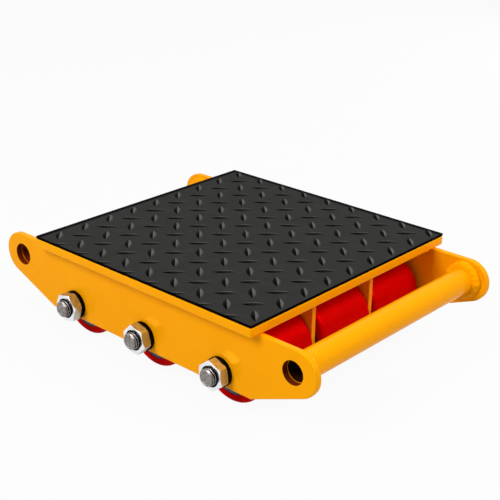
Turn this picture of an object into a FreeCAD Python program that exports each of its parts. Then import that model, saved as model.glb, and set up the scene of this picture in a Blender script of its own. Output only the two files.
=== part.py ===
"""Low machine skate: a welded deck frame that rolls on three axles with three coated rollers each.

X runs along the skate, the way it rolls, with the front at +X. Y runs along the axles, with the left side
at +Y. Z is up, and the origin lies on the floor under the middle of the deck. All sizes are millimetres.
"""
import FreeCAD, Part
import math
import os
import re
import Sketcher

Vector = FreeCAD.Vector
Rotation = FreeCAD.Rotation

# Driving sizes, in millimetres and degrees, with a few shares of them
SIZES = {
    # Rollers, with how far each row sits to the left of its bay's middle
    "roller_radius": 35.0,
    "roller_side_gap": 4.0,
    "roller_shift_left": -2.0,
    "roller_shift_centre": 3.0,
    "roller_shift_right": 3.0,
    "tread_thickness": 8.0,
    "tread_edge_radius": 4.0,
    "core_inset": 0.5,
    # Bearings, two sealed ones in each roller
    "bearing_radius": 17.5,
    "bearing_width": 10.0,
    "bearing_recess": 1.5,
    "inner_ring_wall": 2.7,
    "running_gap": 0.1,
    # Axles and their fasteners
    "axle_radius": 8.5,
    "axle_pitch": 95.0,
    "axle_clearance": 0.15,
    "thread_step": 0.5,
    "thread_clearance": 0.05,
    "thread_proud": 5.0,
    "shank_setback": 0.5,
    "axle_chamfer": 1.2,
    "nut_across_flats": 25.0,
    "nut_height": 9.5,
    "nut_chamfer_height": 1.2,
    "nut_chamfer_width": 2.1,
    "nut_turn_front": 22.0,
    "nut_turn_middle": 14.0,
    "nut_turn_rear": 48.0,
    "washer_radius": 13.7,
    "washer_thickness": 3.5,
    "washer_bore_clearance": 0.2,
    "washer_split": 2.0,
    # Side plates with their round ears
    "frame_width": 256.0,
    "side_plate_thickness": 6.0,
    "plate_drop": 13.8,
    "bottom_corner_overhang": 34.5,
    "ear_reach": 178.0,
    "ear_radius": 20.8,
    "ear_hole_setback": 4.0,
    "ear_hole_lap": 1.8,
    "plate_edge_radius": 1.0,
    # Divider plates between the rollers
    "divider_thickness": 5.0,
    "divider_overhang": 30.0,
    # Handle tubes between the ears
    "tube_radius": 12.5,
    "tube_wall": 2.5,
    # Weld beads
    "weld_crown_share": 0.6,
    "tube_weld_leg": 6.5,
    "deck_weld_leg": 4.5,
    "deck_weld_setback": 4.0,
    "divider_weld_leg": 3.5,
    "tack_weld_leg": 6.0,
    "tack_weld_length": 20.0,
    # Deck plate and its rubber mat
    "deck_length": 276.0,
    "deck_width": 276.0,
    "deck_thickness": 9.0,
    "deck_roller_gap": 14.2,
    "deck_edge_radius": 1.5,
    "mat_thickness": 2.5,
    "mat_inset": 0.3,
    "stud_pitch": 31.3,
    "stud_angle": 45.0,
    "stud_offset_x": 2.3,
    "stud_offset_y": 3.7,
    "stud_length": 22.0,
    "stud_width": 6.8,
    "stud_height": 0.8,
    "stud_crest_width": 0.5,
    # Extra length of a cutting tool beyond what it cuts
    "cut_overrun": 1.0,
}

AXLES = {"front": "axle_pitch", "middle": "0", "rear": "-axle_pitch"}
BAY = "(frame_width - 2 * side_plate_thickness - 2 * divider_thickness) / 3"
BAYS = {"left": f"{BAY} + divider_thickness", "centre": "0", "right": f"-{BAY} - divider_thickness"}
ROLLER_MIDDLES = {bay: f"{middle} + roller_shift_{bay}" for bay, middle in BAYS.items()}
ROLLER_LENGTH = f"({BAY} - 2 * roller_side_gap)"
INNER_FACE = "(frame_width / 2 - side_plate_thickness)"
DIVIDER_MIDDLE = f"({BAY} + divider_thickness) / 2"
DIVIDER_LENGTH = "(2 * (axle_pitch + divider_overhang))"
PLATE_TOP = "(2 * roller_radius + deck_roller_gap)"
PLATE_BOTTOM = "(roller_radius - plate_drop)"
BOTTOM_CORNER = "(axle_pitch + bottom_corner_overhang)"
EAR_HEIGHT = f"({PLATE_TOP} - ear_radius)"
EAR_HOLE_REACH = "(ear_reach - ear_hole_setback)"
EAR_HOLE_RADIUS = "(tube_radius - ear_hole_lap)"
CORE_RADIUS = "(roller_radius - tread_thickness)"
CORE_LENGTH = f"({ROLLER_LENGTH} - 2 * core_inset)"
BEARING_OUTER_FACE = f"({CORE_LENGTH} / 2 - bearing_recess)"
BEARING_INNER_FACE = f"({BEARING_OUTER_FACE} - bearing_width)"
INNER_RING_BORE = "(axle_radius + running_gap)"
INNER_RING_RADIUS = f"({INNER_RING_BORE} + inner_ring_wall)"
THREAD_RADIUS = "(axle_radius - thread_step)"
AXLE_TIP = "(frame_width / 2 + washer_thickness + nut_height + thread_proud)"
ALONG_Y = Rotation(Vector(1, 0, 0), -90)
TURNED_OUT = Rotation(Vector(0, 0, 1), 180)

doc = FreeCAD.newDocument("MachineSkate")
sheet = doc.addObject("Spreadsheet::Sheet", "Sizes")
for row, (alias, number) in enumerate(SIZES.items(), start=1):
    sheet.set(f"A{row}", alias)
    sheet.set(f"B{row}", str(number))
    sheet.setAlias(f"B{row}", alias)
doc.recompute()

nodes = []


def bound(words):
    """Write a formula in size names as an expression that reads the sheet."""
    return re.sub(r"[a-z]+(_[a-z]+)+", lambda name: "Sizes." + name.group(), words)


def value(words):
    """Work a formula in size names out as a number."""
    return float(sheet.evalExpression(bound(words)))


def keep(piece, node):
    """Name a finished piece and put it on the list of sub-parts."""
    piece.Label = node
    nodes.append(piece)


def place(piece, x="0", y="0", z="0", turn=Rotation()):
    """Set a piece down at a point given in formulas, turned as a whole."""
    piece.Placement = FreeCAD.Placement(Vector(), turn)
    for axis, words in (("x", x), ("y", y), ("z", z)):
        piece.setExpression(f"Placement.Base.{axis}", bound(words))
    return piece


def new_sketch(body, role, name):
    """Start a sketch on one of a body's own origin planes."""
    sketch = body.newObject("Sketcher::SketchObject", name)
    plane = next(item for item in body.Origin.OriginFeatures if item.Role == role)
    sketch.AttachmentSupport = [(plane, "")]
    sketch.MapMode = "FlatFace"
    return sketch


def dimension(sketch, kind, places, words):
    """Add one dimension to a sketch and bind it to a formula."""
    index = sketch.addConstraint(Sketcher.Constraint(kind, *places, value(words)))
    sketch.setExpression(f"Constraints[{index}]", bound(words))


def fix_point(sketch, edge, end, x, y):
    """Dimension one point of an edge from the sketch's origin."""
    dimension(sketch, "DistanceX", (-1, 1, edge, end), x)
    dimension(sketch, "DistanceY", (-1, 1, edge, end), y)


def draw_outline(sketch, corners):
    """Draw a closed outline of straight runs through corners given in formulas."""
    points = [Vector(value(x), value(y)) for x, y in corners]
    first = sketch.GeometryCount
    count = len(points)
    for i, point in enumerate(points):
        sketch.addGeometry(Part.LineSegment(point, points[(i + 1) % count]))
    for i, (x, y) in enumerate(corners):
        sketch.addConstraint(Sketcher.Constraint("Coincident", first + i, 2, first + (i + 1) % count, 1))
        fix_point(sketch, first + i, 1, x, y)


def rectangle(half_length, half_width):
    """Corners of a rectangle about a sketch's origin, from two half sizes given in formulas."""
    return [(f"-{half_length}", f"-{half_width}"), (half_length, f"-{half_width}"),
            (half_length, half_width), (f"-{half_length}", half_width)]


def draw_circle(sketch, x, y, radius):
    """Draw a circle whose centre and radius are formulas."""
    centre = Vector(value(x), value(y))
    edge = sketch.addGeometry(Part.Circle(centre, Vector(0, 0, 1), value(radius)))
    fix_point(sketch, edge, 3, x, y)
    dimension(sketch, "Radius", (edge,), radius)


def pad(body, sketch, length, name):
    """Raise a sketch to a solid."""
    feature = body.newObject("PartDesign::Pad", name)
    feature.Profile = sketch
    feature.setExpression("Length", bound(length))
    doc.recompute()
    return feature


def turned_body(name, corners):
    """Turn a profile of radius and axial corners about the Y axis."""
    body = doc.addObject("PartDesign::Body", name)
    sketch = new_sketch(body, "XY_Plane", f"{name}_profile")
    draw_outline(sketch, corners)
    feature = body.newObject("PartDesign::Revolution", f"{name}_turning")
    feature.Profile = sketch
    feature.ReferenceAxis = (sketch, ["V_Axis"])
    feature.Angle = 360
    doc.recompute()
    return body


def round_edges(body, base, edges, radius, name):
    """Round the named edges of a body's feature."""
    feature = body.newObject("PartDesign::Fillet", name)
    feature.Base = (base, edges)
    feature.setExpression("Radius", bound(radius))
    doc.recompute()
    return feature


def edge_names(shape, wanted):
    """Name the edges of a shape that a test picks."""
    return [f"Edge{i}" for i, edge in enumerate(shape.Edges, start=1) if wanted(edge)]


def cylinder(name, radius, length):
    """Make a plain cylinder that stands along Z."""
    rod = doc.addObject("Part::Cylinder", name)
    rod.setExpression("Radius", bound(radius))
    rod.setExpression("Height", bound(length))
    return rod


def cut(name, base, tool):
    """Take one solid away from another."""
    feature = doc.addObject("Part::Cut", name)
    feature.Base = base
    feature.Tool = tool
    return feature


def ring(name, radius, bore, length):
    """Make a plain ring that stands along Z."""
    return cut(name, cylinder(f"{name}_outside", radius, length), cylinder(f"{name}_bore", bore, length))


def gather(node, pieces):
    """Make one node of linked copies: pairs of a master piece and the place where its copy goes."""
    copies = []
    for i, (master, (x, y, z, turn)) in enumerate(pieces):
        copy = doc.addObject("App::Link", f"{node}_copy_{i}")
        copy.LinkedObject = master
        copies.append(place(copy, x, y, z, turn))
    group = doc.addObject("Part::Compound", f"{node}_group")
    group.Links = copies
    keep(group, node)


def lay_out(node, master, places):
    """Make one node of copies of a single master piece, each at its own place and turn."""
    gather(node, [(master, spot) for spot in places])


def make_deck_plate():
    """Square deck plate with softly rounded edges."""
    body = doc.addObject("PartDesign::Body", "DeckPlate")
    sketch = new_sketch(body, "XY_Plane", "DeckOutline")
    draw_outline(sketch, rectangle("deck_length / 2", "deck_width / 2"))
    slab = pad(body, sketch, "deck_thickness", "DeckSlab")
    every_edge = edge_names(slab.Shape, lambda edge: True)
    round_edges(body, slab, every_edge, "deck_edge_radius", "DeckEdges")
    keep(place(body, z=PLATE_TOP), "deck_plate")


def make_stud():
    """One lens-shaped stud along X: two spherical flanks that meet in a narrow flat crest."""
    length = value("stud_length")
    half_width = value("stud_width / 2")
    height = value("stud_height")
    overrun = value("cut_overrun")
    arc_radius = ((length / 2) ** 2 + half_width ** 2) / (2 * half_width)
    side_shift = arc_radius - half_width
    crest_radius = side_shift + value("stud_crest_width / 2")
    drop = (arc_radius ** 2 - height ** 2 - crest_radius ** 2) / (2 * height)
    flank_radius = math.hypot(arc_radius, drop)
    flanks = [Part.makeSphere(flank_radius, Vector(0, side, -drop)) for side in (side_shift, -side_shift)]
    slab = Part.makeBox(2 * length, 2 * length, height + overrun, Vector(-length, -length, -overrun))
    return slab.common(flanks[0]).common(flanks[1])


def make_rubber_mat():
    """Moulded mat: a thin sheet with two crossing sets of lens-shaped studs, cut off at its edges."""
    length = value("deck_length - 2 * mat_inset")
    width = value("deck_width - 2 * mat_inset")
    thickness = value("mat_thickness")
    full_height = thickness + value("stud_height")
    pitch = value("stud_pitch")
    angle = value("stud_angle")
    offset = Vector(value("stud_offset_x"), value("stud_offset_y"), thickness)
    corner = Vector(-length / 2, -width / 2)
    sheet_solid = Part.makeBox(length, width, thickness, corner)
    envelope = Part.makeBox(length, width, full_height, corner)
    stud = make_stud()
    reach = math.ceil(max(length, width) / pitch)
    studs = []
    for shift, turn in ((0, -angle), (pitch / 2, angle)):
        for i in range(-reach, reach):
            for j in range(-reach, reach):
                centre = offset + Vector(i * pitch + shift, j * pitch + shift)
                if abs(centre.x) > length / 2 or abs(centre.y) > width / 2:
                    continue
                copy = stud.copy()
                copy.Placement = FreeCAD.Placement(centre, Rotation(Vector(0, 0, 1), turn))
                studs.append(copy.common(envelope))
    mat = doc.addObject("Part::Feature", "RubberMat")
    mat.Shape = sheet_solid.multiFuse(studs).removeSplitter()
    keep(place(mat, z=f"{PLATE_TOP} + deck_thickness"), "rubber_mat")


def mirrored(point):
    """Mirror a sketch point to the rear half of a plate."""
    return Vector(-point.x, point.y)


def ear_arc(centre, radius, start, end):
    """Round end of an ear, as an arc between two angles."""
    return Part.ArcOfCircle(Part.Circle(centre, Vector(0, 0, 1), radius), start, end)


def draw_side_plate(sketch):
    """Side plate outline: straight top, round ears, slanted lower edges and a straight bottom."""
    radius = value("ear_radius")
    ear = Vector(value("ear_reach"), value(EAR_HEIGHT))
    top = ear + Vector(0, radius)
    corner = Vector(value(BOTTOM_CORNER), value(PLATE_BOTTOM))
    to_ear = ear - corner
    slant = math.atan2(to_ear.y, to_ear.x) - math.asin(radius / to_ear.Length)
    low = slant - math.pi / 2
    high = math.pi / 2
    touch = ear + Vector(radius * math.cos(low), radius * math.sin(low))
    upper = sketch.addGeometry(Part.LineSegment(mirrored(top), top))
    front_ear = sketch.addGeometry(ear_arc(ear, radius, low, high))
    front_slant = sketch.addGeometry(Part.LineSegment(touch, corner))
    lower = sketch.addGeometry(Part.LineSegment(corner, mirrored(corner)))
    rear_slant = sketch.addGeometry(Part.LineSegment(mirrored(corner), mirrored(touch)))
    rear_ear = sketch.addGeometry(ear_arc(mirrored(ear), radius, high, math.pi - low))
    for joint in (("Tangent", upper, 2, front_ear, 2), ("Tangent", front_ear, 1, front_slant, 1),
                  ("Coincident", front_slant, 2, lower, 1), ("Coincident", lower, 2, rear_slant, 1),
                  ("Tangent", rear_slant, 2, rear_ear, 2), ("Tangent", rear_ear, 1, upper, 1),
                  ("Horizontal", upper)):
        sketch.addConstraint(Sketcher.Constraint(*joint))
    dimension(sketch, "DistanceY", (-1, 1, upper, 1), PLATE_TOP)
    for edge, side in ((front_ear, ""), (rear_ear, "-")):
        dimension(sketch, "Radius", (edge,), "ear_radius")
        dimension(sketch, "DistanceX", (-1, 1, edge, 3), f"{side}ear_reach")
    fix_point(sketch, lower, 1, BOTTOM_CORNER, PLATE_BOTTOM)
    fix_point(sketch, lower, 2, f"-{BOTTOM_CORNER}", PLATE_BOTTOM)


def draw_axle_holes(sketch):
    """Three clearance holes for the axles."""
    for x in AXLES.values():
        draw_circle(sketch, x, "roller_radius", "axle_radius + axle_clearance")


def make_side_plate(side, outer_face):
    """Side plate with two ear holes, three axle holes and softened outer edges."""
    name = f"side_plate_{side}"
    body = doc.addObject("PartDesign::Body", name)
    sketch = new_sketch(body, "XZ_Plane", f"{name}_outline")
    draw_side_plate(sketch)
    draw_axle_holes(sketch)
    for sign in ("", "-"):
        draw_circle(sketch, f"{sign}{EAR_HOLE_REACH}", EAR_HEIGHT, EAR_HOLE_RADIUS)
    blank = pad(body, sketch, "side_plate_thickness", f"{name}_blank")
    broad_faces = sorted(blank.Shape.Faces, key=lambda face: face.Area)[-2:]
    rim = [edge for face in broad_faces for edge in face.OuterWire.Edges]
    on_rim = edge_names(blank.Shape, lambda edge: any(edge.isSame(other) for other in rim))
    round_edges(body, blank, on_rim, "plate_edge_radius", f"{name}_edges")
    keep(place(body, y=outer_face), name)


def make_divider_plate(side, left_face):
    """Plain divider plate between two rows of rollers, with three axle holes."""
    name = f"divider_plate_{side}"
    body = doc.addObject("PartDesign::Body", name)
    sketch = new_sketch(body, "XZ_Plane", f"{name}_outline")
    end = f"{DIVIDER_LENGTH} / 2"
    draw_outline(sketch, [(f"-{end}", PLATE_BOTTOM), (end, PLATE_BOTTOM),
                          (end, PLATE_TOP), (f"-{end}", PLATE_TOP)])
    draw_axle_holes(sketch)
    pad(body, sketch, "divider_thickness", f"{name}_blank")
    keep(place(body, y=left_face), name)


def make_handle_tubes():
    """Handle tubes welded between the ears, in line with the ear holes."""
    for node, x in (("front", EAR_HOLE_REACH), ("rear", f"-{EAR_HOLE_REACH}")):
        tube = ring(f"HandleTube_{node}", "tube_radius", "tube_radius - tube_wall", f"2 * {INNER_FACE}")
        keep(place(tube, x, f"-{INNER_FACE}", EAR_HEIGHT, ALONG_Y), f"handle_tube_{node}")


def make_handle_welds():
    """Ring-shaped fillet welds where the handle tubes meet the plates' inner faces."""
    crown = "weld_crown_share * tube_weld_leg"
    bead = turned_body("HandleWeld", [("tube_radius", "0"), ("tube_radius + tube_weld_leg", "0"),
                                      (f"tube_radius + {crown}", crown), ("tube_radius", "tube_weld_leg")])
    places = []
    for x in (EAR_HOLE_REACH, f"-{EAR_HOLE_REACH}"):
        places.append((x, f"-{INNER_FACE}", EAR_HEIGHT, Rotation()))
        places.append((x, INNER_FACE, EAR_HEIGHT, TURNED_OUT))
    lay_out("handle_welds", bead, places)


def weld_bar(name, leg, length):
    """Straight crowned weld along X that fills the corner under the deck on the +Y side of a plate."""
    body = doc.addObject("PartDesign::Body", name)
    sketch = new_sketch(body, "YZ_Plane", f"{name}_section")
    crown = f"weld_crown_share * {leg}"
    draw_outline(sketch, [("0", "0"), ("0", f"-{leg}"), (crown, f"-{crown}"), (leg, "0")])
    pad(body, sketch, length, f"{name}_bead").Midplane = True
    doc.recompute()
    return body


def make_deck_welds():
    """Fillet welds under the deck's overhang, along the outside of both side plates."""
    bead = weld_bar("DeckWeld", "deck_weld_leg", "deck_length - 2 * deck_weld_setback")
    outer_face = "frame_width / 2"
    lay_out("deck_welds", bead, [("0", outer_face, PLATE_TOP, Rotation()),
                                 ("0", f"-{outer_face}", PLATE_TOP, TURNED_OUT)])


def make_tack_welds():
    """Short welds in the inner corners between the deck and the side plates, one near each end of a plate."""
    bead = weld_bar("TackWeld", "tack_weld_leg", "tack_weld_length")
    middle = "(deck_length / 2 - deck_weld_setback - tack_weld_length / 2)"
    places = []
    for x in (middle, f"-{middle}"):
        places.append((x, INNER_FACE, PLATE_TOP, TURNED_OUT))
        places.append((x, f"-{INNER_FACE}", PLATE_TOP, Rotation()))
    lay_out("tack_welds", bead, places)


def make_divider_welds():
    """Fillet welds between the deck and both faces of each divider plate."""
    bead = weld_bar("DividerWeld", "divider_weld_leg", f"{DIVIDER_LENGTH} - 2 * deck_weld_setback")
    places = []
    for side in ("", "-"):
        middle = f"{side}({DIVIDER_MIDDLE})"
        places.append(("0", f"{middle} + divider_thickness / 2", PLATE_TOP, Rotation()))
        places.append(("0", f"{middle} - divider_thickness / 2", PLATE_TOP, TURNED_OUT))
    lay_out("divider_welds", bead, places)


def on_axle(x, along, turn=ALONG_Y):
    """Place of a piece on an axle, whose right-hand face lies at a formula along Y."""
    return (x, along, "roller_radius", turn)


def make_axle(node, x):
    """Plain axle with a threaded, chamfered end outside each side plate."""
    shank_end = "(frame_width / 2 - shank_setback)"
    half = [("axle_radius", shank_end), (THREAD_RADIUS, shank_end),
            (THREAD_RADIUS, f"{AXLE_TIP} - axle_chamfer"), (f"{THREAD_RADIUS} - axle_chamfer", AXLE_TIP),
            ("0", AXLE_TIP)]
    other_half = [(radius, f"-({along})") for radius, along in reversed(half)]
    body = turned_body(f"Axle_{node}", half + other_half)
    keep(place(body, x=x, z="roller_radius"), f"axle_{node}")


def make_axle_nuts():
    """Hex nuts with both ends chamfered, one on each axle end."""
    corner_radius = "nut_across_flats / sqrt(3)"
    face_radius = f"{corner_radius} - nut_chamfer_width"
    blank = doc.addObject("Part::Prism", "NutBlank")
    blank.Polygon = 6
    blank.setExpression("Circumradius", bound(corner_radius))
    blank.setExpression("Height", bound("nut_height"))
    envelope = turned_body("NutEnvelope", [
        ("0", "0"), (face_radius, "0"), (corner_radius, "nut_chamfer_height"),
        (corner_radius, "nut_height - nut_chamfer_height"), (face_radius, "nut_height"), ("0", "nut_height")])
    envelope.Placement = FreeCAD.Placement(Vector(), Rotation(Vector(1, 0, 0), 90))
    chamfered = doc.addObject("Part::Common", "NutChamfered")
    chamfered.Base = blank
    chamfered.Tool = envelope
    nut = cut("Nut", chamfered, cylinder("NutBore", f"{THREAD_RADIUS} + thread_clearance", "nut_height"))
    places = []
    for node, x in AXLES.items():
        turn = Rotation(Vector(0, 1, 0), value(f"nut_turn_{node}")) * ALONG_Y
        seat = "frame_width / 2 + washer_thickness"
        places += [on_axle(x, seat, turn), on_axle(x, f"-({seat} + nut_height)", turn)]
    lay_out("axle_nuts", nut, places)


def make_spring_washers():
    """Split spring washers under the nuts."""
    bore = f"{THREAD_RADIUS} + washer_bore_clearance"
    blank = ring("WasherBlank", "washer_radius", bore, "washer_thickness")
    slot = doc.addObject("Part::Box", "WasherSlot")
    slot.setExpression("Length", bound("washer_radius + cut_overrun"))
    slot.setExpression("Width", bound("washer_split"))
    slot.setExpression("Height", bound("washer_thickness"))
    place(slot, x="-(washer_radius + cut_overrun)", y="-washer_split / 2")
    washer = cut("Washer", blank, slot)
    places = []
    for x in AXLES.values():
        places += [on_axle(x, "frame_width / 2"), on_axle(x, "-frame_width / 2 - washer_thickness")]
    lay_out("spring_washers", washer, places)


def make_axle_stacks():
    """Rings that the nuts clamp along each axle: bearing inner rings, spacer sleeves and end spacers."""
    bay_end = f"({BAY}) / 2"
    mean_spacer = f"{bay_end} - {BEARING_OUTER_FACE}"
    inner_ring = ring("InnerRing", INNER_RING_RADIUS, INNER_RING_BORE, "bearing_width")
    sleeve = ring("SpacerSleeve", INNER_RING_RADIUS, INNER_RING_BORE, f"2 * {BEARING_INNER_FACE}")
    end_spacers = {}
    for bay in BAYS:
        for side, sign in (("left", "-"), ("right", "+")):
            name = f"EndSpacer_{bay}_{side}"
            length = f"{mean_spacer} {sign} roller_shift_{bay}"
            end_spacers[bay, side] = ring(name, INNER_RING_RADIUS, INNER_RING_BORE, length)
    for node, x in AXLES.items():
        rings = []
        sleeves = []
        spacers = []
        for bay, middle in ROLLER_MIDDLES.items():
            sleeves.append(on_axle(x, f"{middle} - {BEARING_INNER_FACE}"))
            rings += [on_axle(x, f"{middle} + {BEARING_INNER_FACE}"),
                      on_axle(x, f"{middle} - {BEARING_OUTER_FACE}")]
            spacers += [(end_spacers[bay, "left"], on_axle(x, f"{middle} + {BEARING_OUTER_FACE}")),
                        (end_spacers[bay, "right"], on_axle(x, f"{BAYS[bay]} - {bay_end}"))]
        lay_out(f"bearing_inner_rings_{node}", inner_ring, rings)
        lay_out(f"spacer_sleeves_{node}", sleeve, sleeves)
        gather(f"end_spacers_{node}", spacers)


def outer_rims(shape, least_radius):
    """Name the round edges of a turned shape that lie further out than a radius given as a formula."""
    least_length = 2 * math.pi * value(least_radius)
    return edge_names(shape, lambda edge: edge.isClosed() and edge.Length > least_length)


def make_rollers():
    """Rollers: a soft tread bonded round a steel core, which turns on two bearing outer rings."""
    outer_ring = ring("OuterRing", "bearing_radius", f"{INNER_RING_RADIUS} + running_gap", "bearing_width")
    core_end = f"{CORE_LENGTH} / 2"
    tread_end = f"{ROLLER_LENGTH} / 2"
    core_section = [("bearing_radius", f"-{core_end}"), (CORE_RADIUS, f"-{core_end}"),
                    (CORE_RADIUS, core_end), ("bearing_radius", core_end)]
    tread_section = [(CORE_RADIUS, f"-{tread_end}"), ("roller_radius", f"-{tread_end}"),
                     ("roller_radius", tread_end), (CORE_RADIUS, tread_end)]
    for axle, x in AXLES.items():
        for bay, y in ROLLER_MIDDLES.items():
            name = f"roller_{axle}_{bay}"
            core = turned_body(f"{name}_core_body", core_section)
            keep(place(core, x, y, "roller_radius"), f"{name}_core")
            tread = turned_body(f"{name}_tread_body", tread_section)
            rims = outer_rims(tread.Shape, "roller_radius - tread_thickness / 2")
            round_edges(tread, tread.Tip, rims, "tread_edge_radius", f"{name}_tread_edges")
            keep(place(tread, x, y, "roller_radius"), f"{name}_tread")
            lay_out(f"{name}_bearing_outer_rings", outer_ring, [
                on_axle(x, f"{y} + {BEARING_INNER_FACE}"), on_axle(x, f"{y} - {BEARING_OUTER_FACE}")])


def write_parts():
    """Check every object and write each sub-part to its own file."""
    doc.recompute()
    for item in doc.Objects:
        if "Invalid" in item.State or "Error" in item.State:
            raise RuntimeError(f"{item.Name} failed: {item.State}")
    for piece in nodes:
        if piece.Shape.isNull() or not piece.Shape.isValid():
            raise RuntimeError(f"{piece.Label} has no sound shape")
    os.makedirs("parts", exist_ok=True)
    for piece in nodes:
        piece.Shape.exportStep(f"parts/{piece.Label}.step")
        print(piece.Label, len(piece.Shape.Solids), round(piece.Shape.Volume))


make_deck_plate()
make_rubber_mat()
make_side_plate("left", "frame_width / 2")
make_side_plate("right", "side_plate_thickness - frame_width / 2")
make_divider_plate("left", f"{DIVIDER_MIDDLE} + divider_thickness / 2")
make_divider_plate("right", f"-({DIVIDER_MIDDLE}) + divider_thickness / 2")
make_handle_tubes()
make_handle_welds()
make_deck_welds()
make_tack_welds()
make_divider_welds()
for axle_name, axle_x in AXLES.items():
    make_axle(axle_name, axle_x)
make_axle_nuts()
make_spring_washers()
make_axle_stacks()
make_rollers()
write_parts()
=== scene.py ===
"""Looks of a machine skate: finishes, modelled details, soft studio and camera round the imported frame."""

import logging
import math
from dataclasses import dataclass, field
from enum import Enum
from typing import NamedTuple, Sequence

import bmesh
import bpy
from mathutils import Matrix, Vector, noise


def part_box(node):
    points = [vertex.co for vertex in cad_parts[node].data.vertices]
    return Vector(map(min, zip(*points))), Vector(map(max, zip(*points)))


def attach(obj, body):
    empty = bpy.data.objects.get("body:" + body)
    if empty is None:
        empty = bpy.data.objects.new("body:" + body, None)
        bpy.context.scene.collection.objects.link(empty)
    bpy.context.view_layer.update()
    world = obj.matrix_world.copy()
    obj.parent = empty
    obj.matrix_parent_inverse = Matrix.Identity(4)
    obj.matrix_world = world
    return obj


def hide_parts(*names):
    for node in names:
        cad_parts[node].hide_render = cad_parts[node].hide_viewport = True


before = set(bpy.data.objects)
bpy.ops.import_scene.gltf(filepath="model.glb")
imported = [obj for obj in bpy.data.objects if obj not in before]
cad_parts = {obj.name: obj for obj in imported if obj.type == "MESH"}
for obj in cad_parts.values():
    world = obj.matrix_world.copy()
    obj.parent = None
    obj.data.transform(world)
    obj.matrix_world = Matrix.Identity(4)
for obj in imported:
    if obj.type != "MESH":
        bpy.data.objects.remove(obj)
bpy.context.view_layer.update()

LOG = logging.getLogger("machine_skate")
MM = 0.001

Colour = tuple[float, float, float, float]
Point = tuple[float, float]
WHITE: Colour = (1.0, 1.0, 1.0, 1.0)


def tone(red: float, green: float, blue: float) -> Colour:
    """Turn a tone on the screen's scale into the linear light that shaders take.

    Args:
        red: Red, 0 to 255.
        green: Green, 0 to 255.
        blue: Blue, 0 to 255.

    Returns:
        The colour in linear light, with full cover.
    """
    parts = [part / 255 for part in (red, green, blue)]
    # The standard curve of screens has a straight foot and then follows a power.
    linear = [part / 12.92 if part <= 0.04045 else ((part + 0.055) / 1.055) ** 2.4 for part in parts]
    return (linear[0], linear[1], linear[2], 1.0)


class Grain(Enum):
    """How a finish's fine marks run, as a stretch of the pattern along X, Y and Z."""

    CLOUDED = (1.0, 1.0, 1.0)
    TURNED = (0.03, 1.0, 0.03)
    DRAWN = (1.0, 0.03, 1.0)


class Octaves(Enum):
    """How many finer layers a noise carries on top of its blotches."""

    SMOOTH = 1.0
    SOFT = 2.0
    PLAIN = 3.0
    CRISP = 5.0


class Side(Enum):
    """The two long sides of the skate, as a sign along Y."""

    LEFT = 1
    RIGHT = -1


class End(Enum):
    """The two ends of the skate that carry a handle tube, as a sign along X."""

    FRONT = 1
    REAR = -1


class Axle(Enum):
    """The three axles, by the word in their nodes' names."""

    FRONT = "front"
    MIDDLE = "middle"
    REAR = "rear"


class Bay(Enum):
    """The three bays between the plates, by the word in their rollers' names."""

    LEFT = "left"
    CENTRE = "centre"
    RIGHT = "right"


class NutFinish(Enum):
    """The finishes on a nut, by their number among its materials."""

    ZINC = 0
    FLATS = 1
    RECESS_SHADE = 2


class Spot(NamedTuple):
    """Three values that belong to X, Y and Z, such as a place in metres."""

    x: float
    y: float
    z: float


class Extent:
    """Box of one node of the frame at rest, to a tenth of a millimetre."""

    DECIMALS: int = 4

    def __init__(self, node: str) -> None:
        """Take the box from the frame.

        Args:
            node: The node's name.
        """
        self.low, self.high = (Spot(*(round(part, self.DECIMALS) for part in corner))
                               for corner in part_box(node))
        self.middle = Spot(*((low + high) / 2 for low, high in zip(self.low, self.high)))
        self.half = Spot(*((high - low) / 2 for low, high in zip(self.low, self.high)))


DECK = Extent("deck_plate")
MAT = Extent("rubber_mat")
PLATE = Extent("side_plate_left")
DIVIDER = Extent("divider_plate_left")
TUBE = Extent("handle_tube_front")
AXLE = Extent("axle_front")


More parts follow.
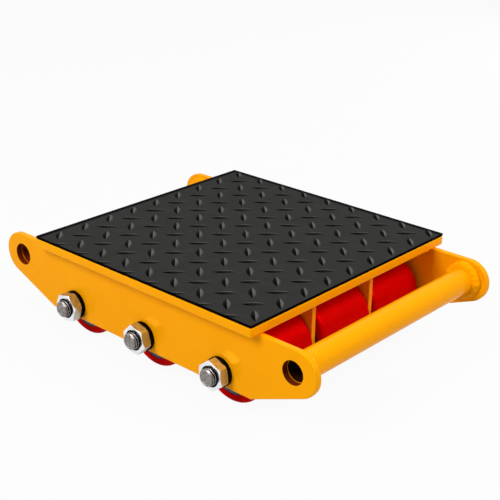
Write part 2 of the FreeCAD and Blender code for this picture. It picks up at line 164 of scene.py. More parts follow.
class Surface:
    """One node material, built up round its principled shader."""

    NOISE_SPAN: Point = (0.3, 0.7)
    WALL_TO_TOP: Point = (0.2, 0.45)
    LEAN_SPAN: Point = (-0.45, 0.5)
    LEAN_BLUR: float = 0.05
    RIM_BLUR: float = 0.2 * MM
    BORE_BLUR: float = 0.1 * MM

    def __init__(self, name: str, **values: float | Colour) -> None:
        """Start a material and set its plain values.

        Args:
            name: The finish's name.
            values: Values of the shader's own sockets, with underscores for spaces.
        """
        self.material = bpy.data.materials.new(name)
        self.material.use_nodes = True
        self.nodes = self.material.node_tree.nodes
        self.links = self.material.node_tree.links
        self.shader = self.nodes["Principled BSDF"]
        self.place = self.nodes.new("ShaderNodeTexCoord").outputs["Object"]
        for socket, value in values.items():
            self.shader.inputs[socket.replace("_", " ")].default_value = value

    def feed(self, source: bpy.types.NodeSocket, socket: str) -> None:
        """Lead an output into one of the shader's sockets."""
        self.links.new(source, self.shader.inputs[socket])

    def clouds(self, size: float, octaves: Octaves = Octaves.PLAIN,
               grain: Grain = Grain.CLOUDED) -> bpy.types.NodeSocket:
        """Add a noise whose blotches have a real size.

        Args:
            size: Length of a blotch across the grain, in metres.
            octaves: Finer layers on top of the blotches.
            grain: How the blotches are drawn out.

        Returns:
            The noise, about 0.5 on average.
        """
        mapping = self.nodes.new("ShaderNodeMapping")
        mapping.inputs["Scale"].default_value = [stretch / size for stretch in grain.value]
        pattern = self.nodes.new("ShaderNodeTexNoise")
        pattern.inputs["Scale"].default_value = 1.0
        pattern.inputs["Detail"].default_value = octaves.value
        self.links.new(self.place, mapping.inputs["Vector"])
        self.links.new(mapping.outputs["Vector"], pattern.inputs["Vector"])
        return pattern.outputs[0]

    def tones(self, source: bpy.types.NodeSocket, *steps: tuple[float, Colour]) -> bpy.types.NodeSocket:
        """Turn a pattern into tones.

        Args:
            source: The pattern that chooses between the tones.
            steps: Each tone, after the value of the pattern at which it stands; the two outer ones first.

        Returns:
            The colour.
        """
        ramp = self.nodes.new("ShaderNodeValToRGB")
        stops = ramp.color_ramp.elements
        ready = len(stops)
        for i, (position, colour) in enumerate(steps):
            stop = stops[i] if i < ready else stops.new(position)
            stop.position = position
            stop.color = colour
        self.links.new(source, ramp.inputs[0])
        return ramp.outputs["Color"]

    def drift(self, source: bpy.types.NodeSocket, low: Colour, high: Colour) -> bpy.types.NodeSocket:
        """Drift with a noise between two tones."""
        return self.tones(source, *zip(self.NOISE_SPAN, (low, high)))

    def part(self, where: bpy.types.NodeSocket, inside: Colour,
             outside: bpy.types.NodeSocket) -> bpy.types.NodeSocket:
        """Give a marked-off part of the surface a tone of its own.

        Args:
            where: Zero on the marked-off part, one elsewhere.
            inside: Tone of that part.
            outside: Colour of the rest.

        Returns:
            The colour of the whole.
        """
        mix = self.nodes.new("ShaderNodeMix")
        mix.data_type = "RGBA"
        colour_inputs = [socket for socket in mix.inputs if socket.type == "RGBA"]
        colour_inputs[0].default_value = inside
        self.links.new(where, mix.inputs["Factor"])
        self.links.new(outside, colour_inputs[1])
        return next(socket for socket in mix.outputs if socket.type == "RGBA")

    def step(self, source: bpy.types.NodeSocket, span: Point,
             result: Point = (0.0, 1.0)) -> bpy.types.NodeSocket:
        """Rise from one value to another while a source crosses a span.

        Args:
            source: The source.
            span: Where the rise starts and ends, as values of the source.
            result: The values before and after the rise.

        Returns:
            The result.
        """
        rise = self.nodes.new("ShaderNodeMapRange")
        for socket, value in zip(("From Min", "From Max", "To Min", "To Max"), (*span, *result)):
            rise.inputs[socket].default_value = value
        self.links.new(source, rise.inputs["Value"])
        return rise.outputs[0]

    def facing_up(self) -> bpy.types.NodeSocket:
        """Tell what faces up from the walls.

        Returns:
            Zero on walls, one on what faces up.
        """
        parts = self.nodes.new("ShaderNodeSeparateXYZ")
        self.links.new(self.nodes.new("ShaderNodeNewGeometry").outputs["Normal"], parts.inputs[0])
        return self.step(parts.outputs["Z"], self.WALL_TO_TOP)

    def inside_border(self, middle: Point, half: float) -> bpy.types.NodeSocket:
        """Mark off the border round a square field of a sheet.

        Args:
            middle: Middle of the field.
            half: Distance from there at which the border starts.

        Returns:
            Zero on the border, one inside it.
        """
        away, flip = (self.nodes.new("ShaderNodeVectorMath") for _ in range(2))
        away.operation = "SUBTRACT"
        away.inputs[1].default_value = (*middle, 0)
        flip.operation = "ABSOLUTE"
        parts = self.nodes.new("ShaderNodeSeparateXYZ")
        furthest = self.nodes.new("ShaderNodeMath")
        furthest.operation = "MAXIMUM"
        self.links.new(self.place, away.inputs[0])
        self.links.new(away.outputs[0], flip.inputs[0])
        self.links.new(flip.outputs[0], parts.inputs[0])
        for i in range(2):
            self.links.new(parts.outputs[i], furthest.inputs[i])
        return self.step(furthest.outputs[0], (half + self.RIM_BLUR, half - self.RIM_BLUR))

    def flanks(self, toward: Spot, heights: Point,
               noise_source: bpy.types.NodeSocket) -> bpy.types.NodeSocket:
        """Tell slopes by the way they lean, blurred by a noise, to paint light and shade on them.

        A slope that leans the marked way fades towards its foot; one that leans away keeps its full mark.

        Args:
            toward: The way that a fully marked slope leans.
            heights: Height of the foot, and height from which the mark is full.
            noise_source: The noise that breaks the tone up.

        Returns:
            About 0.5 on level ground, more on slopes that lean that way and less on the others.
        """
        lean = self.nodes.new("ShaderNodeVectorMath")
        lean.operation = "DOT_PRODUCT"
        lean.inputs[1].default_value = toward
        parts = self.nodes.new("ShaderNodeSeparateXYZ")
        fade, keep, blur = (self.nodes.new("ShaderNodeMath") for _ in range(3))
        fade.operation = "MULTIPLY"
        keep.operation = "MINIMUM"
        blur.operation = "MULTIPLY_ADD"
        blur.inputs[1].default_value = self.LEAN_BLUR
        self.links.new(self.nodes.new("ShaderNodeNewGeometry").outputs["Normal"], lean.inputs[0])
        self.links.new(self.place, parts.inputs[0])
        for node in (fade, keep):
            self.links.new(lean.outputs["Value"], node.inputs[0])
        self.links.new(self.step(parts.outputs["Z"], heights), fade.inputs[1])
        self.links.new(fade.outputs[0], keep.inputs[1])
        self.links.new(noise_source, blur.inputs[0])
        self.links.new(self.step(keep.outputs[0], self.LEAN_SPAN), blur.inputs[2])
        return blur.outputs[0]

    def outside_bores(self, reach: float, height: float, radius: float) -> bpy.types.NodeSocket:
        """Mark off two bores that run across the skate, one at each end.

        Args:
            reach: Distance of their axes from the middle, along X.
            height: Height of their axes.
            radius: Radius up to which the mark goes.

        Returns:
            Zero in the bores, one elsewhere.
        """
        flip, flatten, spread = (self.nodes.new("ShaderNodeVectorMath") for _ in range(3))
        flip.operation = "ABSOLUTE"
        flatten.operation = "MULTIPLY"
        flatten.inputs[1].default_value = (1, 0, 1)
        spread.operation = "DISTANCE"
        spread.inputs[1].default_value = (reach, 0, height)
        self.links.new(self.place, flip.inputs[0])
        self.links.new(flip.outputs[0], flatten.inputs[0])
        self.links.new(flatten.outputs[0], spread.inputs[0])
        return self.step(spread.outputs["Value"], (radius, radius + self.BORE_BLUR))

    def vary(self, source: bpy.types.NodeSocket, socket: str, values: Point) -> None:
        """Let a noise move one of the shader's sockets between two values."""
        self.feed(self.step(source, self.NOISE_SPAN, values), socket)

    def emboss(self, source: bpy.types.NodeSocket, depth: float) -> None:
        """Raise the surface by a pattern.

        Args:
            source: The pattern.
            depth: Height between the pattern's low and high, in metres.
        """
        bump = self.nodes.new("ShaderNodeBump")
        bump.inputs["Distance"].default_value = depth
        self.links.new(source, bump.inputs["Height"])
        self.feed(bump.outputs["Normal"], "Normal")


@dataclass(frozen=True)
class PaintFinish:
    """Sprayed enamel on steel: an even film with a slight orange peel, and a tone of painted shade inside
    the bores.
    """

    name: str = "yellow_enamel"
    bore_shade_radius: float = 0.0
    bore_reach: float = TUBE.middle.x
    bore_height: float = TUBE.middle.z
    film: Colour = tone(255, 170, 5)
    thin_film: Colour = tone(254, 165, 3)
    # Inside the bores: painted shade, which in the front tube also stands for bare steel.
    bore_shade: Colour = tone(54, 28, 13)
    sheen: Colour = (1.0, 0.62, 0.03, 1.0)
    gloss: Point = (0.13, 0.18)
    mirror: float = 0.05
    metallic: float = 0.12
    patch: float = 70 * MM
    gloss_patch: float = 17.5 * MM
    peel: float = 2.2 * MM
    peel_depth: float = 0.02 * MM

    def make(self) -> bpy.types.Material:
        """Build the paint.

        Returns:
            The material.
        """
        paint = Surface(self.name, Specular_IOR_Level=self.mirror, Specular_Tint=self.sheen,
                        Metallic=self.metallic)
        colour = paint.drift(paint.clouds(self.patch), self.thin_film, self.film)
        # The bores get a tone of painted shade in place of the film.
        if self.bore_shade_radius:
            rest = paint.outside_bores(self.bore_reach, self.bore_height, self.bore_shade_radius)
            colour = paint.part(rest, self.bore_shade, colour)
        paint.feed(colour, "Base Color")
        paint.vary(paint.clouds(self.gloss_patch), "Roughness", self.gloss)
        paint.emboss(paint.clouds(self.peel, Octaves.SMOOTH), self.peel_depth)
        return paint.material


@dataclass(frozen=True)
class RubberFinish:
    """Moulded black rubber with a fine dry grain, with painted light and painted shade on the studs' flanks
    by the way they lean, painted shade on its walls, and a near-black band round the top's edge.
    """

    name: str = "moulded_rubber"
    # Flank tones are painted light and shade: near-black on flanks that lean away from the lit side, the
    # plain rubber on level ground, light grey on flanks that lean towards it.
    black: Colour = tone(3, 3, 3)
    worn: Colour = tone(46, 46, 45)
    lit_flank: Colour = tone(89, 88, 87)
    # Near-black of the band round the top's edge, and painted shade on the mat's walls.
    border_and_wall_shade: Colour = tone(5, 4, 4)
    shaded_flank_at: float = 0.3
    worn_at: float = 0.5
    lit_flank_at: float = 0.68
    narrow_rim: float = 0.2 * MM
    wide_rim: float = 5.8 * MM
    lit_from: Spot = Spot(0.12, 0.9, 0.0)
    foot: float = MAT.high.z - 0.9 * MM
    shoulder: float = MAT.high.z - 0.3 * MM
    gloss: Point = (0.46, 0.58)
    mirror: float = 0.006
    flank_blur_patch: float = 12 * MM
    gloss_patch: float = 36 * MM
    grain: float = 0.6 * MM
    grain_depth: float = 0.04 * MM

    def make(self) -> bpy.types.Material:
        """Build the rubber.

        Returns:
            The material.
        """
        rubber = Surface(self.name, Specular_IOR_Level=self.mirror)
        flank_blur = rubber.clouds(self.flank_blur_patch, Octaves.CRISP)
        # Stud flanks get painted light on one side and painted shade on the other.
        lean = rubber.flanks(self.lit_from, (self.foot, self.shoulder), flank_blur)
        skin = rubber.tones(lean, (self.shaded_flank_at, self.black), (self.lit_flank_at, self.lit_flank),
                            (self.worn_at, self.worn))
        # The rim is wide at the rear and on the left, so the field sits off the mat's middle.
        shift = (self.wide_rim - self.narrow_rim) / 2
        field_half = MAT.half.x - (self.wide_rim + self.narrow_rim) / 2
        skin = rubber.part(rubber.inside_border((shift, -shift), field_half), self.border_and_wall_shade, skin)
        # The walls, which face sideways, get painted shade.
        rubber.feed(rubber.part(rubber.facing_up(), self.border_and_wall_shade, skin), "Base Color")
        rubber.vary(rubber.clouds(self.gloss_patch), "Roughness", self.gloss)
        rubber.emboss(rubber.clouds(self.grain, Octaves.SOFT), self.grain_depth)
        return rubber.material


@dataclass(frozen=True)
class CastFinish:
    """Cast polyurethane, turned to size: deep red, satin, with faint rings from the lathe."""

    name: str = "red_cast_coat"
    deep: Colour = tone(196, 1, 1)
    clear: Colour = tone(210, 4, 2)
    sheen: Colour = (1.0, 0.12, 0.1, 1.0)
    gloss: Point = (0.3, 0.38)
    mirror: float = 0.01
    metallic: float = 0.2
    mottle: float = 30 * MM
    ring: float = 0.9 * MM
    ring_depth: float = 0.012 * MM

    def make(self) -> bpy.types.Material:
        """Build the coat.

        Returns:
            The material.
        """
        coat = Surface(self.name, Specular_IOR_Level=self.mirror, Specular_Tint=self.sheen,
                       Metallic=self.metallic)
        coat.feed(coat.drift(coat.clouds(self.mottle), self.deep, self.clear), "Base Color")
        rings = coat.clouds(self.ring, Octaves.SOFT, Grain.TURNED)
        coat.vary(rings, "Roughness", self.gloss)
        coat.emboss(rings, self.ring_depth)
        return coat.material


@dataclass(frozen=True)
class MetalFinish:
    """Bare, plated or blacked metal with fine marks along one grain."""

    name: str
    dull: Colour
    bright: Colour
    gloss: Point
    metallic: float = 1.0
    mirror: float = 0.5
    grain: Grain = Grain.CLOUDED
    mark: float = 1.5 * MM
    mark_depth: float = 0.004 * MM
    marks_per_patch: float = 4.0

    def make(self) -> bpy.types.Material:
        """Build the metal.

        Returns:
            The material.
        """
        metal = Surface(self.name, Metallic=self.metallic, Specular_IOR_Level=self.mirror)
        marks = metal.clouds(self.mark, grain=self.grain)
        patches = metal.clouds(self.mark * self.marks_per_patch)
        metal.feed(metal.drift(patches, self.dull, self.bright), "Base Color")
        metal.vary(marks, "Roughness", self.gloss)
        metal.emboss(marks, self.mark_depth)
        return metal.material


class Palette:
    """All finishes of the skate, made once and shared by its pieces."""

    ear_bore: float = 10.85 * MM
    tube_bore: float = 10.1 * MM
    # Painted shade in the rear tube's bore and on the ear holes' walls, lighter than in the front tube's
    # bore.
    rear_bore_shade: Colour = tone(130, 48, 6)
    ear_wall_shade: Colour = tone(128, 48, 7)
    matt: Point = (0.34, 0.42)

    def __init__(self) -> None:
        """Make every finish."""
        self.paint = PaintFinish().make()
        self.plate_paint = PaintFinish("plate_enamel", self.ear_bore, bore_shade=self.ear_wall_shade).make()
        # The front and rear tubes differ only in how dark the painted shade in their bores is.
        self.tube_paint = PaintFinish("tube_enamel", self.tube_bore).make()
        self.rear_tube_paint = PaintFinish("rear_tube_enamel", self.tube_bore, bore_shade=self.rear_bore_shade).make()
        self.rough_paint = PaintFinish("rough_enamel", gloss=self.matt, metallic=0.0).make()
        # Divider paint: a darker, more orange film that is painted shade for plates set deep between the
        # rollers.
        self.shaded_divider_paint = PaintFinish("shaded_divider_enamel", film=tone(246, 148, 4), thin_film=tone(236, 136, 3),
                                       gloss=self.matt, metallic=0.0).make()
        self.rubber = RubberFinish().make()
        self.cast = CastFinish().make()
        self.zinc = MetalFinish("zinc_plating", tone(226, 227, 230), tone(243, 244, 246), (0.14, 0.22),
                                mark=4 * MM, mark_depth=0.002 * MM).make()
        self.flats = MetalFinish("drawn_zinc_flats", tone(164, 166, 150), tone(196, 198, 182),
                                 (0.34, 0.46), grain=Grain.DRAWN, mark=0.9 * MM).make()
        # Near-black painted shade in the nuts' countersinks and bores and in the axles' thread roots.
        self.recess_shade = MetalFinish("painted_recess_shade", tone(9, 8, 8), tone(16, 14, 13), (0.4, 0.5),
                                 metallic=0.0, mirror=0.1).make()
        self.axle = MetalFinish("turned_axle_steel", tone(112, 107, 104), tone(158, 152, 148),
                                (0.34, 0.46), grain=Grain.TURNED, mark=0.6 * MM).make()
        self.core = MetalFinish("turned_core_steel", tone(52, 60, 68), tone(78, 88, 96), (0.34, 0.5),
                                grain=Grain.TURNED, mark=0.8 * MM).make()
        self.oxide = MetalFinish("black_oxide", tone(5, 4, 4), tone(9, 8, 8), (0.45, 0.6),
                                 metallic=0.0, mirror=0.02).make()
        self.race = MetalFinish("ground_race_steel", tone(150, 153, 158), tone(186, 189, 193),
                                (0.18, 0.3), grain=Grain.TURNED, mark=0.5 * MM).make()
        self.spacer = MetalFinish("sawn_spacer_steel", tone(112, 113, 116), tone(146, 147, 150),
                                  (0.34, 0.5), grain=Grain.TURNED, mark=0.8 * MM).make()


@dataclass(frozen=True)
class EasedEdge:
    """A small rounding along the sharp edges of a piece."""

    width: float
    corner_angle: float = 40.0
    segments: int = 2
    finish: int = -1
    keep_sharp: bool = True
    same_point: float = 0.001 * MM
    same_flat_angle: float = 0.5

    def join_flats(self, piece: bpy.types.Object) -> None:
        """Join the triangles of each flat, so that only the real edges are left to round.

        Args:
            piece: The piece, whose own mesh stays as it is.
        """
        weld = piece.modifiers.new("join_corners", "WELD")
        weld.merge_threshold = self.same_point
        flatten = piece.modifiers.new("join_flats", "DECIMATE")
        flatten.decimate_type = "DISSOLVE"
        flatten.angle_limit = math.radians(self.same_flat_angle)

    def apply(self, piece: bpy.types.Object) -> None:
        """Round every edge at which the faces turn by more than the corner's angle.

        Args:
            piece: The piece, whose own mesh stays as it is.
        """
        ease = piece.modifiers.new("ease_edges", "BEVEL")
        ease.width = self.width
        ease.segments = self.segments
        ease.material = self.finish
        ease.limit_method = "ANGLE"
        ease.angle_limit = math.radians(self.corner_angle)
        piece.modifiers.new("even_light", "WEIGHTED_NORMAL").keep_sharp = self.keep_sharp


def loft(mesh: bmesh.types.BMesh, sections: Sequence[Sequence[Vector]],
         closed: bool) -> list[bmesh.types.BMFace]:
    """Skin a run of closed sections.

    Args:
        mesh: The mesh to add to.
        sections: The points of each section, the same count in each.
        closed: Whether the last section joins the first; otherwise both ends are capped.

    Returns:
        The new faces of the skin, section by section, without the caps.
    """
    rows = [[mesh.verts.new(point) for point in section] for section in sections]
    skin = []
    for row, after in zip(rows, rows[1:] + rows[:1] if closed else rows[1:]):
        for i, vert in enumerate(row):
            skin.append(mesh.faces.new((row[i - 1], vert, after[i], after[i - 1])))
    if not closed:
        mesh.faces.new(rows[0])
        mesh.faces.new(rows[-1])
    return skin


def make_piece(name: str, mesh: bmesh.types.BMesh, finishes: Sequence[bpy.types.Material],
               body: str, replaced: Sequence[str], crease: float = 30.0) -> bpy.types.Object:
    """Turn a finished mesh into a piece that rides on a body.

    Args:
        name: The piece's name.
        mesh: Its mesh, which is used up.
        finishes: Its materials, in the order of its faces' material numbers.
        body: The body that it rides on.
        replaced: The frame's nodes that it stands for.
        crease: Angle in degrees above which an edge stays sharp.

    Returns:
        The new object.
    """
    bmesh.ops.recalc_face_normals(mesh, faces=mesh.faces)
    for face in mesh.faces:
        face.smooth = True
    for edge in mesh.edges:
        edge.smooth = edge.calc_face_angle(math.pi) < math.radians(crease)
    data = bpy.data.meshes.new(name)
    mesh.to_mesh(data)
    mesh.free()
    for finish in finishes:
        data.materials.append(finish)
    piece = bpy.data.objects.new(name, data)
    bpy.context.scene.collection.objects.link(piece)
    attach(piece, body)
    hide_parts(*replaced)
    LOG.info("%s: %d faces, rides on %s", name, len(data.polygons), body)
    return piece


def dress_node(name: str, finish: bpy.types.Material, edge: EasedEdge | None = None) -> None:
    """Give a node of the frame its finish, and ease its sharp edges if asked.

    Args:
        name: The node's name.
        finish: Its material.
        edge: How its edges are eased, or nothing to leave them.
    """
    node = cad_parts[name]
    for slot in node.material_slots:
        slot.material = finish
    if edge is not None:
        edge.join_flats(node)
        edge.apply(node)
    LOG.info("%s: dressed in %s", name, finish.name)


@dataclass
class PaintedFrame:
    """Deck, side plates, divider plates and handle tubes under one coat of paint."""

    plate_edge: EasedEdge = EasedEdge(0.5 * MM)
    deck_edge: EasedEdge = EasedEdge(1.3 * MM)
    side_plates: tuple[str, ...] = ("side_plate_left", "side_plate_right")
    dividers: tuple[str, ...] = ("divider_plate_left", "divider_plate_right")
    tubes: tuple[str, ...] = ("handle_tube_front", "handle_tube_rear")

    def dress(self, palette: Palette) -> None:
        """Paint every plate and tube.

        Args:
            palette: The finishes.
        """
        dress_node("deck_plate", palette.paint, self.deck_edge)
        for name in self.side_plates:
            dress_node(name, palette.plate_paint, self.plate_edge)
        for name in self.dividers:
            dress_node(name, palette.shaded_divider_paint, self.plate_edge)
        for name, finish in zip(self.tubes, (palette.tube_paint, palette.rear_tube_paint)):
            dress_node(name, finish)


@dataclass
class WeldBeads:
    """Painted weld beads: rings round the handle tubes, runs and tacks under the deck."""

    tube_radius: float = TUBE.half.z
    ring_leg: float = Extent("handle_welds").high.x - TUBE.high.x
    deck_leg: float = DECK.low.z - Extent("deck_welds").low.z
    divider_leg: float = DECK.low.z - Extent("divider_welds").low.z
    tack_leg: float = DECK.low.z - Extent("tack_welds").low.z
    deck_reach: float = Extent("deck_welds").high.x
    divider_reach: float = Extent("divider_welds").high.x
    tack_reach: float = Extent("tack_welds").high.x
    tack_length: float = 20 * MM
    crown_share: float = 0.2
    ripple_pitch: float = 5.4 * MM
    ripple_share: float = 0.035
    ripple_sweep: float = 1.6
    lump_share: float = 0.26
    lump_pitch: float = 8 * MM
    lump_layer: float = 0.5
    end_share: float = 0.25
    sink: float = 0.4 * MM
    face_points: int = 8
    step: float = 0.9 * MM
    crease: float = 60.0

    def section(self, leg: float, travel: float, swell: float) -> list[Point]:
        """Outline of a bead across its run, as distances out from the two faces it joins.

        Args:
            leg: The bead's leg along each face.
            travel: Distance along the run, which sets ripples and lumps.
            swell: Share of the full size, less than 1 towards an end.

        Returns:
            The outline's points, from the hidden root round the crowned face.
        """
        lump = 1 + self.lump_share * noise.noise((travel / self.lump_pitch, leg / MM, self.lump_layer))
        reach = leg * lump * swell
        outline = [(-self.sink, -self.sink), (reach, -self.sink)]
        for i in range(self.face_points + 1):
            share = i / self.face_points
            hump = math.sin(math.pi * share)
            phase = math.tau * travel / self.ripple_pitch + self.ripple_sweep * hump
            rise = reach * hump * (self.crown_share + self.ripple_share * math.sin(phase))
            outline.append((reach * (1 - share) + rise, reach * share + rise))
        outline.append((-self.sink, reach))
        return outline

    def ring(self, mesh: bmesh.types.BMesh, end: End, side: Side) -> None:
        """Lay a bead round a handle tube, on the inner face of a side plate.

        Args:
            mesh: The mesh to add to.
            end: The end that the tube is at.
            side: The plate that it meets.
        """
        length = math.tau * (self.tube_radius + self.ring_leg / 2)
        ripples = round(length / self.ripple_pitch)
        steps = round(length / self.step)
        centre = Vector((end.value * TUBE.middle.x, side.value * PLATE.low.y, TUBE.middle.z))
        sections = []
        for k in range(steps):
            turn = math.tau * k / steps
            travel = ripples * self.ripple_pitch * min(k, steps - k) / steps
            out = Vector((math.cos(turn), 0, math.sin(turn)))
            inward = Vector((0, -side.value, 0))
            sections.append([centre + out * (self.tube_radius + a) + inward * b
                             for a, b in self.section(self.ring_leg, travel, 1.0)])
        loft(mesh, sections, closed=True)

    def run(self, mesh: bmesh.types.BMesh, ends: Sequence[float], face: float, outward: Side,
            leg: float) -> None:
        """Lay a straight bead under the deck, along a plate.

        Args:
            mesh: The mesh to add to.
            ends: Where it starts and stops along X, in either order.
            face: The plate's face along Y.
            outward: The side of the face that the bead is on.
            leg: The bead's leg.
        """
        first, last = sorted(ends)
        steps = round((last - first) / self.step)
        sections = []
        for k in range(steps + 1):
            x = first + (last - first) * k / steps
            to_end = min(1.0, min(x - first, last - x) / leg)
            rounded = math.sqrt(max(0.0, 1 - (1 - to_end) ** 2))
            swell = self.end_share + (1 - self.end_share) * rounded
            outline = self.section(leg, x + outward.value * face, swell)
            sections.append([Vector((x, face + outward.value * a, DECK.low.z - b)) for a, b in outline])
        loft(mesh, sections, closed=False)

    def build(self, palette: Palette) -> None:
        """Model every bead and paint it.

        Args:
            palette: The finishes.
        """
        rings, decks, tacks, dividers = (bmesh.new() for _ in range(4))
        for side in Side:
            inward = Side(-side.value)
            for end in End:
                self.ring(rings, end, side)
                tack = [end.value * x for x in (self.tack_reach - self.tack_length, self.tack_reach)]
                self.run(tacks, tack, side.value * PLATE.low.y, inward, self.tack_leg)
            deck_run = (-self.deck_reach, self.deck_reach)
            self.run(decks, deck_run, side.value * PLATE.high.y, side, self.deck_leg)
            divider_run = (-self.divider_reach, self.divider_reach)
            for face in Side:
                y = side.value * DIVIDER.middle.y + face.value * DIVIDER.half.y
                self.run(dividers, divider_run, y, face, self.divider_leg)
        for name, mesh, node in (
            ("weld_rings", rings, "handle_welds"),
            ("deck_weld_runs", decks, "deck_welds"),
            ("corner_tacks", tacks, "tack_welds"),
            ("divider_weld_runs", dividers, "divider_welds"),
        ):
            make_piece(name, mesh, [palette.rough_paint], "frame", [node], self.crease)


@dataclass
class TreadMat:
    """Rubber mat with lens-shaped studs on the deck."""

    node: str = "rubber_mat"

    def dress(self, palette: Palette) -> None:
        """Give the mat its rubber.

        Args:
            palette: The finishes.
        """
        dress_node(self.node, palette.rubber)


@dataclass
class AxleSet:
    """Three axles with rolled threads, their hex nuts and spring washers."""

    height: float = AXLE.middle.z
    shank_radius: float = AXLE.half.x
    shank_end: float = PLATE.high.y - 0.5 * MM
    shank_chamfer: float = 0.3 * MM
    tip: float = AXLE.high.y
    tip_chamfer: float = 1.2 * MM
    thread_radius: float = 8 * MM
    thread_depth: float = 1.3 * MM
    thread_pitch: float = 2.5 * MM
    flank_steepness: float = 1.25
    rows_per_pitch: int = 8
    steps: int = 56
    root_share: float = 0.45
    # Radius and depth of each ring of an axle's dished end, in millimetres.
    end_face: tuple[Point, ...] = ((6.7, 0.0), (5.9, 0.0), (5.5, 0.3), (3.0, 0.35), (0.3, 0.4))
    # How far each axle's nuts were turned when they came tight, in degrees.
    nut_turns: dict[Axle, float] = field(
        default_factory=lambda: {Axle.FRONT: 22.0, Axle.MIDDLE: 14.0, Axle.REAR: 48.0})
    nut_seat: float = Extent("spring_washers").high.y
    nut_height: float = Extent("axle_nuts").high.y - nut_seat
    nut_sides: int = 6
    nut_half_flats: float = 12.5 * MM
    nut_face_radius: float = 12.334 * MM
    nut_chamfer_slope: float = 0.572
    nut_bore: float = 8.05 * MM
    nut_sink: float = 1.7 * MM
    nut_sink_depth: float = 0.5 * MM
    # Finishes round a nut's section: bore, seat end, flat and outer end; the near-black one on the bore and
    # countersinks is painted shade.
    nut_finishes: tuple[NutFinish, ...] = (
        NutFinish.RECESS_SHADE, NutFinish.RECESS_SHADE, NutFinish.ZINC, NutFinish.ZINC,
        NutFinish.FLATS, NutFinish.ZINC, NutFinish.ZINC, NutFinish.RECESS_SHADE)
    flat_steps: int = 10
    nut_crease: float = 25.0
    nut_edge: float = 0.4 * MM
    washer_edge: EasedEdge = EasedEdge(0.35 * MM)

    def spot(self, axle: Axle) -> float:
        """Place of an axle along X."""
        return Extent(f"axle_{axle.value}").middle.x

    def thread(self, along: float, turn: float) -> float:
        """Radius of a threaded end.

        Args:
            along: Distance from the axle's middle.
            turn: Angle round the axle.

        Returns:
            The radius there, cut by the chamfer at the tip.
        """
        phase = (along / self.thread_pitch - turn / math.tau) % 1.0
        ridge = min(1.0, self.flank_steepness * (1 - abs(2 * phase - 1)))
        radius = self.thread_radius - self.thread_depth * (1 - ridge)
        return min(radius, self.thread_radius - self.tip_chamfer + (self.tip - along))

    def half(self) -> list[tuple[float, list[float]]]:
        """Rings of one half of an axle, from the middle out to its tip.

        Returns:
            Each ring's distance from the middle, and its radius at every step round.
        """
        rings = [(along, [self.shank_radius] * self.steps)
                 for along in (0.0, self.shank_end - self.shank_chamfer)]
        rings.append((self.shank_end, [self.shank_radius - self.shank_chamfer] * self.steps))
        count = round((self.tip - self.shank_end) / self.thread_pitch * self.rows_per_pitch)
        turns = [math.tau * i / self.steps for i in range(self.steps)]
        for k in range(count + 1):
            along = self.shank_end + (self.tip - self.shank_end) * k / count
            rings.append((along, [self.thread(along, turn) for turn in turns]))
        for radius, depth in self.end_face:
            rings.append((self.tip - depth * MM, [radius * MM] * self.steps))
        return rings

    def build_axle(self, axle: Axle, palette: Palette) -> None:
        """Model one axle with both threaded ends.

        Args:
            axle: Which axle.
            palette: The finishes.
        """
        place = self.spot(axle)
        half = self.half()
        rings = [(-along, radii) for along, radii in reversed(half[1:])] + half
        sections = []
        for along, radii in rings:
            ring = []
            for i, radius in enumerate(radii):
                turn = math.tau * i / self.steps
                ring.append(Vector((place + radius * math.cos(turn), along,
                                    self.height + radius * math.sin(turn))))
            sections.append(ring)
        mesh = bmesh.new()
        root = self.thread_radius - self.root_share * self.thread_depth
        for k, face in enumerate(loft(mesh, sections, closed=False)):
            along, radii = rings[k // self.steps]
            threaded = self.shank_end < abs(along) < self.tip - self.tip_chamfer
            # Thread roots get painted shade.
            face.material_index = int(threaded and radii[k % self.steps] < root)
        make_piece(f"threaded_axle_{axle.value}", mesh, [palette.axle, palette.recess_shade],
                   "frame", [f"axle_{axle.value}"])

    def nut_section(self, share: float) -> list[Point]:
        """Section through a nut, chamfered at both ends and countersunk at its bore.

        Args:
            share: How far across a flat the section is, from 0 at one corner to 1 at the next.

        Returns:
            Radius and distance from the seat of each point, round from the bore.
        """
        flat = self.nut_half_flats / math.cos(math.tau / self.nut_sides * (share - 0.5))
        drop = (flat - self.nut_face_radius) * self.nut_chamfer_slope
        rim = self.nut_bore + self.nut_sink
        seat_half = [(self.nut_bore, self.nut_sink_depth), (rim, 0.0), (self.nut_face_radius, 0.0),
                     (flat, drop)]
        return seat_half + [(radius, self.nut_height - along) for radius, along in reversed(seat_half)]

    def nut(self, mesh: bmesh.types.BMesh, axle: Axle, side: Side) -> None:
        """Add one hex nut.

        Args:
            mesh: The mesh to add to.
            axle: The axle that it is on.
            side: The end of the axle.
        """
        place = self.spot(axle)
        count = self.nut_sides * self.flat_steps
        sections = []
        for k in range(count):
            turn = math.radians(self.nut_turns[axle]) + math.tau * k / count
            outline = self.nut_section(k % self.flat_steps / self.flat_steps)
            sections.append([Vector((place + radius * math.cos(turn),
                                     side.value * (self.nut_seat + along),
                                     self.height - radius * math.sin(turn)))
                             for radius, along in outline])
        for i, face in enumerate(loft(mesh, sections, closed=True)):
            face.material_index = self.nut_finishes[i % len(self.nut_finishes)].value

    def build(self, palette: Palette) -> None:
        """Model axles and nuts, and dress the washers.

        Args:
            palette: The finishes.
        """
        nuts = bmesh.new()
        for axle in Axle:
            self.build_axle(axle, palette)
            for side in Side:
                self.nut(nuts, axle, side)
        finishes = [palette.zinc, palette.flats, palette.recess_shade]
        piece = make_piece("hex_nuts", nuts, finishes, "frame", ["axle_nuts"],
                           self.nut_crease)
        edge = EasedEdge(self.nut_edge, self.nut_crease, finish=NutFinish.ZINC.value, keep_sharp=False)
        edge.apply(piece)
        dress_node("spring_washers", palette.oxide, self.washer_edge)


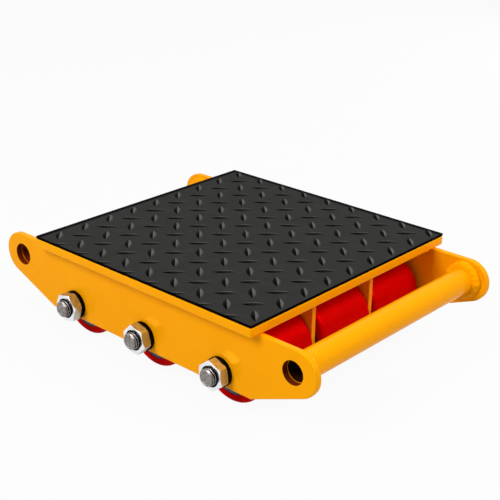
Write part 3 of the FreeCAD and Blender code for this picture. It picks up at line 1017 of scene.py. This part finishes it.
@dataclass
class RollerSet:
    """Nine rollers with their cores, treads and sealed bearings, and the rings clamped on the axles."""

    clamped: tuple[str, ...] = ("spacer_sleeves", "end_spacers")

    def dress(self, palette: Palette) -> None:
        """Dress every ring, core and tread.

        Args:
            palette: The finishes.
        """
        for axle in Axle:
            dress_node(f"bearing_inner_rings_{axle.value}", palette.race)
            for name in self.clamped:
                dress_node(f"{name}_{axle.value}", palette.spacer)
            for bay in Bay:
                roller = f"roller_{axle.value}_{bay.value}"
                dress_node(f"{roller}_core", palette.core)
                dress_node(f"{roller}_tread", palette.cast)
                dress_node(f"{roller}_bearing_outer_rings", palette.race)


@dataclass
class Lamp:
    """One soft area lamp, square, with its side in metres and its power in watts."""

    name: str
    place: Spot
    size: float
    power: float

    def build(self, target: Vector) -> None:
        """Hang the lamp and point it at the skate.

        Args:
            target: The point that it faces.
        """
        light = bpy.data.lights.new(self.name, "AREA")
        light.shape = "SQUARE"
        light.size = self.size
        light.energy = self.power
        lamp = bpy.data.objects.new(self.name, light)
        lamp.location = self.place
        lamp.rotation_euler = (target - lamp.location).to_track_quat("-Z", "Y").to_euler()
        bpy.context.scene.collection.objects.link(lamp)


@dataclass
class Studio:
    """White floor, even sky, soft lamps and the camera."""

    floor_half: float = 7.0
    floor_tone: Colour = (0.55, 0.55, 0.55, 1.0)
    floor_glow: float = 0.94
    sky_light: float = 0.16
    target: Spot = Spot(0.0, 0.0, 0.06)
    lamps: tuple[Lamp, ...] = (
        Lamp("near_softbox", Spot(-0.25, -1.4, 1.3), 0.8, 24.8),
        Lamp("front_softbox", Spot(1.5, 0.7, 1.45), 0.8, 24.5),
        Lamp("far_softbox", Spot(0.0, 1.7, 0.45), 0.7, 14.0),
        Lamp("top_softbox", Spot(0.1, -0.2, 1.9), 1.4, 8.0),
    )
    camera_place: Spot = Spot(0.65651, -0.7148, 0.4854)
    # Turns about X, Y and Z from a camera that looks straight down, in degrees.
    camera_angles: Spot = Spot(67.3194, -0.6777, 42.3468)
    lens: float = 78.672

    def seen_ray(self, tree: bpy.types.NodeTree) -> bpy.types.NodeSocket:
        """Tell the rays that show the background from those that light the skate.

        Args:
            tree: The node tree to add to.

        Returns:
            One for camera, mirror and glass rays, zero for the rest.
        """
        path = tree.nodes.new("ShaderNodeLightPath")
        seen = path.outputs["Is Camera Ray"]
        for ray in ("Is Glossy Ray", "Is Transmission Ray"):
            either = tree.nodes.new("ShaderNodeMath")
            either.operation = "MAXIMUM"
            tree.links.new(seen, either.inputs[0])
            tree.links.new(path.outputs[ray], either.inputs[1])
            seen = either.outputs[0]
        return seen

    def build_floor(self) -> None:
        """Lay the white floor, which keeps the skate's shadow."""
        material = bpy.data.materials.new("studio_floor")
        material.use_nodes = True
        tree = material.node_tree
        tree.nodes.clear()
        matt = tree.nodes.new("ShaderNodeBsdfDiffuse")
        matt.inputs["Color"].default_value = self.floor_tone
        glow = tree.nodes.new("ShaderNodeEmission")
        share = tree.nodes.new("ShaderNodeMath")
        share.operation = "MULTIPLY"
        share.inputs[1].default_value = self.floor_glow
        mix = tree.nodes.new("ShaderNodeMixShader")
        out = tree.nodes.new("ShaderNodeOutputMaterial")
        tree.links.new(self.seen_ray(tree), share.inputs[0])
        tree.links.new(share.outputs[0], mix.inputs[0])
        tree.links.new(matt.outputs[0], mix.inputs[1])
        tree.links.new(glow.outputs[0], mix.inputs[2])
        tree.links.new(mix.outputs[0], out.inputs["Surface"])
        mesh = bmesh.new()
        corners = [Vector((x, y, 0)) * self.floor_half for x, y in ((-1, -1), (1, -1), (1, 1), (-1, 1))]
        mesh.faces.new([mesh.verts.new(corner) for corner in corners])
        data = bpy.data.meshes.new("studio_floor")
        mesh.to_mesh(data)
        mesh.free()
        data.materials.append(material)
        floor = bpy.data.objects.new("studio_floor", data)
        bpy.context.scene.collection.objects.link(floor)

    def build_sky(self) -> None:
        """Light the skate evenly from all round, in front of a white background."""
        world = bpy.data.worlds.new("studio_sky")
        bpy.context.scene.world = world
        world.use_nodes = True
        tree = world.node_tree
        tree.nodes.clear()
        light = tree.nodes.new("ShaderNodeBackground")
        light.inputs["Color"].default_value = WHITE
        light.inputs["Strength"].default_value = self.sky_light
        white = tree.nodes.new("ShaderNodeBackground")
        white.inputs["Color"].default_value = WHITE
        mix = tree.nodes.new("ShaderNodeMixShader")
        out = tree.nodes.new("ShaderNodeOutputWorld")
        tree.links.new(self.seen_ray(tree), mix.inputs[0])
        tree.links.new(light.outputs[0], mix.inputs[1])
        tree.links.new(white.outputs[0], mix.inputs[2])
        tree.links.new(mix.outputs[0], out.inputs["Surface"])

    def build_camera(self) -> None:
        """Set the camera at the photograph's viewing angle."""
        data = bpy.data.cameras.new("camera")
        data.lens = self.lens
        camera = bpy.data.objects.new("camera", data)
        camera.location = self.camera_place
        camera.rotation_euler = [math.radians(angle) for angle in self.camera_angles]
        bpy.context.scene.collection.objects.link(camera)
        bpy.context.scene.camera = camera

    def build(self) -> None:
        """Set up floor, sky, lamps and camera."""
        bpy.context.scene.view_settings.view_transform = "Standard"
        self.build_floor()
        self.build_sky()
        for lamp in self.lamps:
            lamp.build(Vector(self.target))
        self.build_camera()
        LOG.info("studio: %d lamps, floor, sky and camera", len(self.lamps))


def main() -> None:
    """Build the studio, dress the frame and model its details."""
    logging.basicConfig(level=logging.INFO, format="%(message)s")
    Studio().build()
    palette = Palette()
    PaintedFrame().dress(palette)
    WeldBeads().build(palette)
    TreadMat().dress(palette)
    AxleSet().build(palette)
    RollerSet().dress(palette)


if __name__ == "__main__":
    main()
